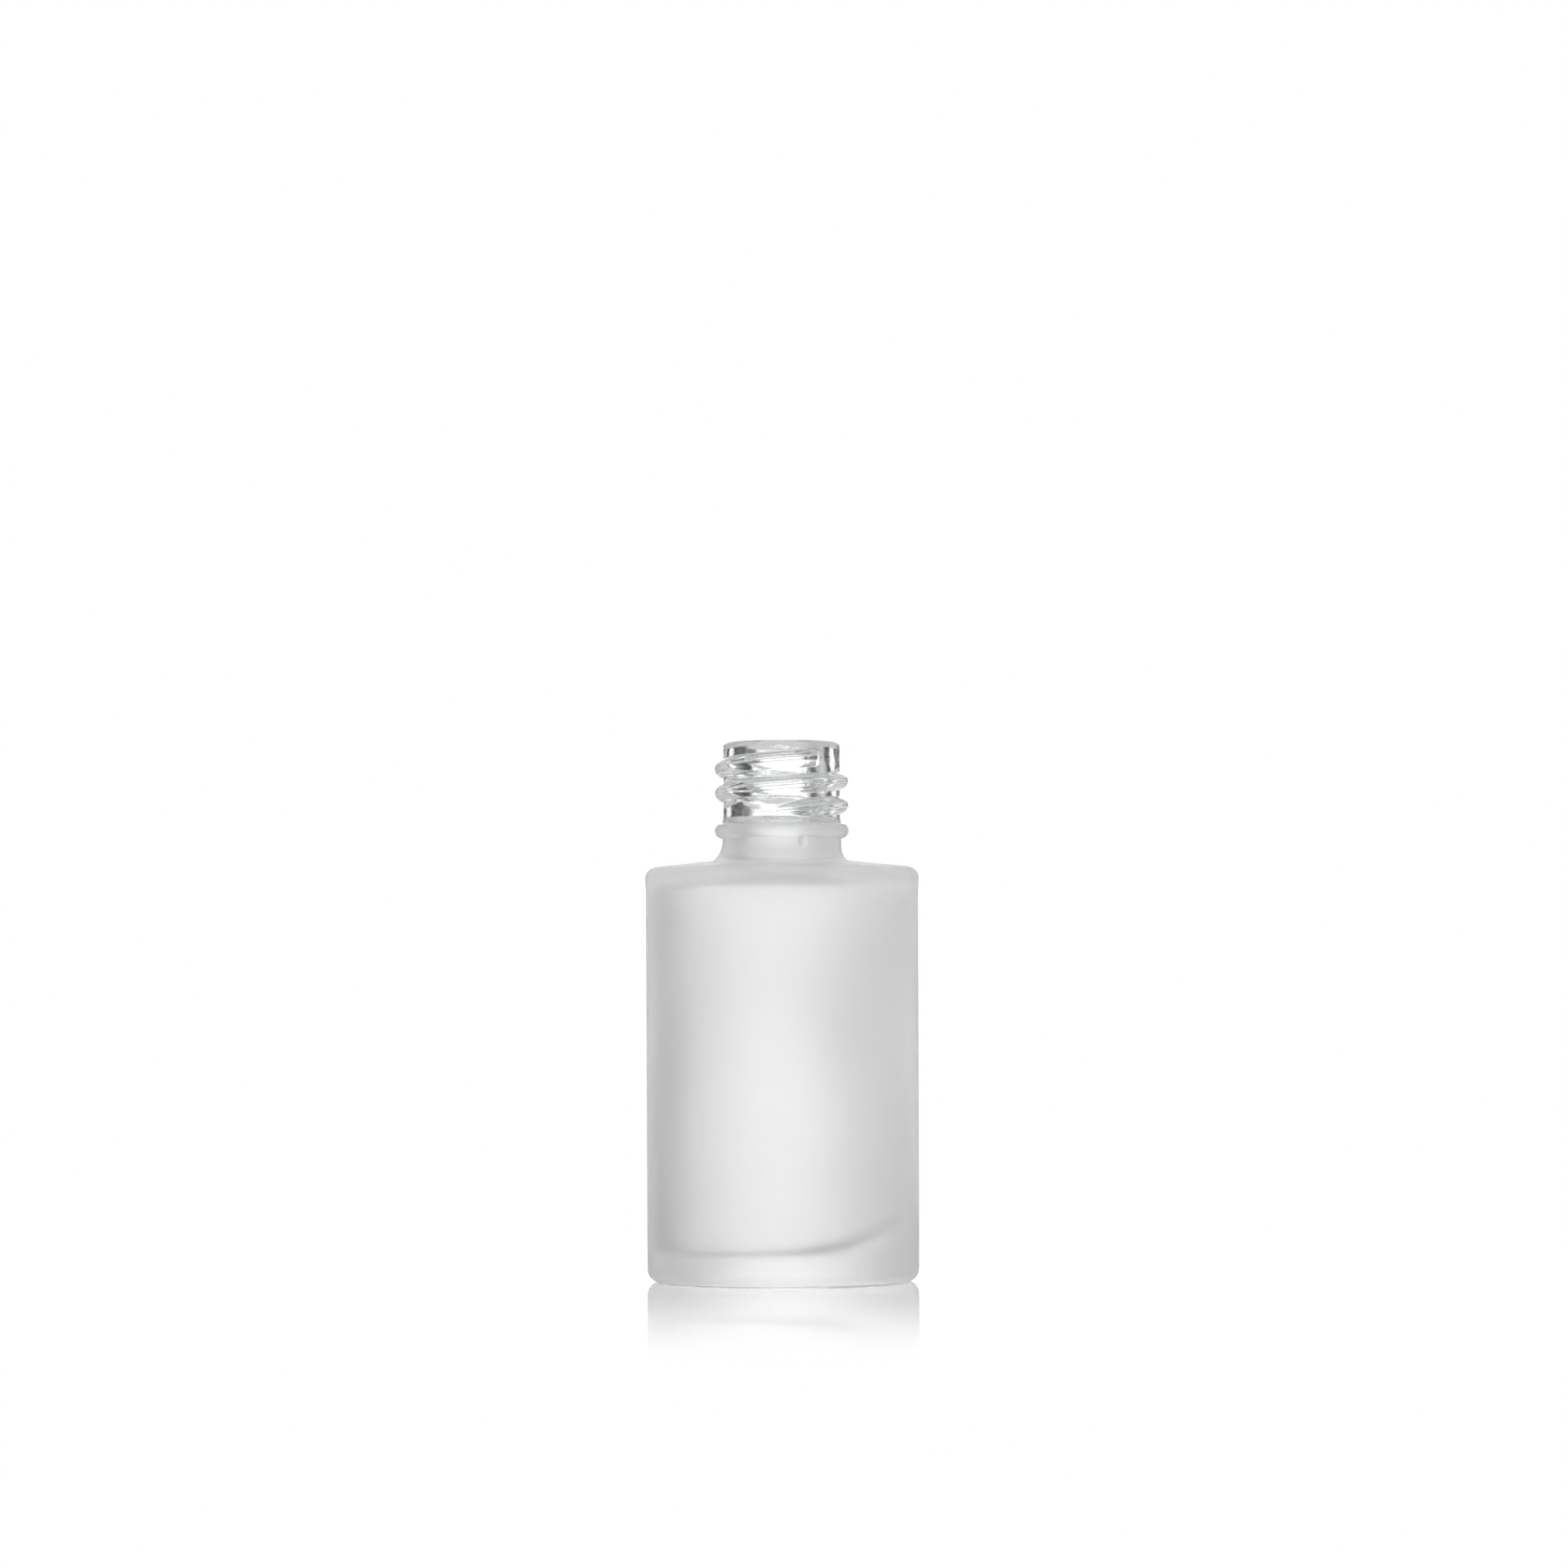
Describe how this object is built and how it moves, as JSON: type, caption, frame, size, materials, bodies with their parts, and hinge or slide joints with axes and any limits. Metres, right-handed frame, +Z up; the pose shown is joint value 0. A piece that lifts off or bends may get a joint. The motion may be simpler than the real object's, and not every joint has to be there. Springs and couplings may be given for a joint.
{
  "type": "foundation bottle",
  "caption": "Round frosted glass foundation bottle, empty and open, with a clear screw-thread neck, a transfer bead and a flat ring to stand on.",
  "frame": {"origin": "centre of the flat ring that the bottle stands on, in the plane of the table", "axes": "+Z up along the bottle's axis to the mouth, -Y to the front as pictured, +X to the right"},
  "size_m": [0.0356, 0.0356, 0.0702],
  "materials": {
    "clear_glass": "polished clear flint glass",
    "frost_lacquer": "thin sprayed matt translucent lacquer, frosted, very fine grain"
  },
  "bodies": {
    "root": {"glass_bottle": "clear_glass", "frost_coating": "frost_lacquer"}
  },
  "joints": []
}
